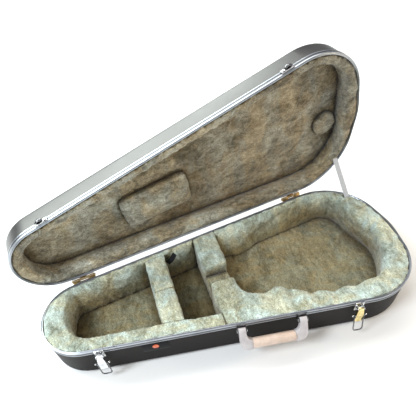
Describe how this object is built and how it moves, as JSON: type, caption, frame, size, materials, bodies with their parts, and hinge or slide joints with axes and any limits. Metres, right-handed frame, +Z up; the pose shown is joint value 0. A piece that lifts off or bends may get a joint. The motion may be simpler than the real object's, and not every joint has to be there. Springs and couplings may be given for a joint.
{
  "type": "shaped instrument case",
  "caption": "Hard shaped case for a small stringed instrument: flared body end, aluminium rims, plush lining, hinged lid that stands open on a strap, wire latches and a carrying handle.",
  "frame": {"origin": "the middle of the length and width of the base's flat bottom", "axes": "+X from the narrow end to the wide end, +Y to the hinges, +Z up; the lid stands open"},
  "size_m": [0.7548, 0.3948, 0.4027],
  "materials": {
    "shell_black": "moulded shell with a fine satin grain",
    "rim_aluminium": "bright drawn extrusion",
    "chrome": "polished plated steel",
    "hinge_brass": "satin plated",
    "handle_plastic": "light grey moulded",
    "grip_vinyl": "beige vinyl, fine grain",
    "plate_black": "smooth",
    "badge_orange": "plain enamel",
    "stay_webbing": "flat woven strap",
    "plush_lining": "short crushed plush",
    "tab_black": "flat ribbon"
  },
  "bodies": {
    "base": {"base_shell": "shell_black", "base_rim": "rim_aluminium", "name_plate": "plate_black", "name_badge": "badge_orange", "stay_strap": "stay_webbing", "stay_rivet_base": "chrome", "base_lining_floor": "plush_lining", "base_lining_front_narrow": "plush_lining", "base_lining_narrow_end": "plush_lining", "base_lining_rear_narrow": "plush_lining", "base_lining_rear_body": "plush_lining", "base_lining_front_body": "plush_lining", "base_lining_wide_end": "plush_lining", "divider_rear": "plush_lining", "divider_front": "plush_lining", "neck_block_rear": "plush_lining", "neck_block_front": "plush_lining", "neck_saddle": "plush_lining", "compartment_tab": "tab_black", "hinge_narrow_base_leaf": "hinge_brass", "hinge_narrow_pin": "hinge_brass", "latch_narrow_plate": "chrome", "latch_narrow_pivot_pin": "chrome", "handle_narrow_bracket": "chrome", "handle_narrow_pin": "chrome", "hinge_wide_base_leaf": "hinge_brass", "hinge_wide_pin": "hinge_brass", "latch_wide_plate": "chrome", "latch_wide_pivot_pin": "chrome", "handle_wide_bracket": "chrome", "handle_wide_pin": "chrome"},
    "lid": {"lid_shell": "shell_black", "lid_rim": "rim_aluminium", "stay_rivet_lid": "chrome", "lid_lining_floor": "plush_lining", "lid_lining_front": "plush_lining", "lid_lining_rear": "plush_lining", "lid_lining_narrow_end": "plush_lining", "lid_lining_wide_end": "plush_lining", "lid_neck_pillow": "plush_lining", "lid_end_pad": "plush_lining", "hinge_narrow_lid_leaf": "hinge_brass", "latch_narrow_keeper": "chrome", "latch_narrow_keeper_rivet": "chrome", "hinge_wide_lid_leaf": "hinge_brass", "latch_wide_keeper": "chrome", "latch_wide_keeper_rivet": "chrome"},
    "handle": {"handle_end_narrow": "handle_plastic", "handle_end_wide": "handle_plastic", "handle_grip": "grip_vinyl", "handle_core": "chrome"},
    "latch_narrow_lever_body": {"latch_narrow_lever": "chrome", "latch_narrow_cross_pin": "chrome"},
    "latch_narrow_bail_body": {"latch_narrow_bail": "chrome"},
    "latch_wide_lever_body": {"latch_wide_lever": "chrome", "latch_wide_cross_pin": "chrome"},
    "latch_wide_bail_body": {"latch_wide_bail": "chrome"}
  },
  "joints": [
    {"name": "lid_hinge", "type": "hinge", "parent": "base", "child": "lid", "pos_m": [0, 0.12783, 0.0865], "axis": [-0.9902, -0.1395, 0], "range_deg": [-88, 0], "deforming": ["stay_strap"]},
    {"name": "handle_swing", "type": "hinge", "parent": "base", "child": "handle", "pos_m": [0.03788, -0.13418, 0.07535], "axis": [-0.9902, 0.1395, 0], "range_deg": [-20, 65]},
    {"name": "latch_narrow_lever_swing", "type": "hinge", "parent": "base", "child": "latch_narrow_lever_body", "pos_m": [-0.27412, -0.09024, 0.076], "axis": [-0.9902, 0.1395, 0], "range_deg": [-5, 100]},
    {"name": "latch_narrow_bail_swing", "type": "hinge", "parent": "latch_narrow_lever_body", "child": "latch_narrow_bail_body", "pos_m": [-0.27453, -0.09321, 0.058], "axis": [0.9902, -0.1395, 0], "range_deg": [-175, 10]},
    {"name": "latch_wide_lever_swing", "type": "hinge", "parent": "base", "child": "latch_wide_lever_body", "pos_m": [0.20388, -0.15756, 0.076], "axis": [-0.9902, 0.1395, 0], "range_deg": [-5, 100]},
    {"name": "latch_wide_bail_swing", "type": "hinge", "parent": "latch_wide_lever_body", "child": "latch_wide_bail_body", "pos_m": [0.20347, -0.16053, 0.058], "axis": [0.9902, -0.1395, 0], "range_deg": [-162, 10]}
  ]
}
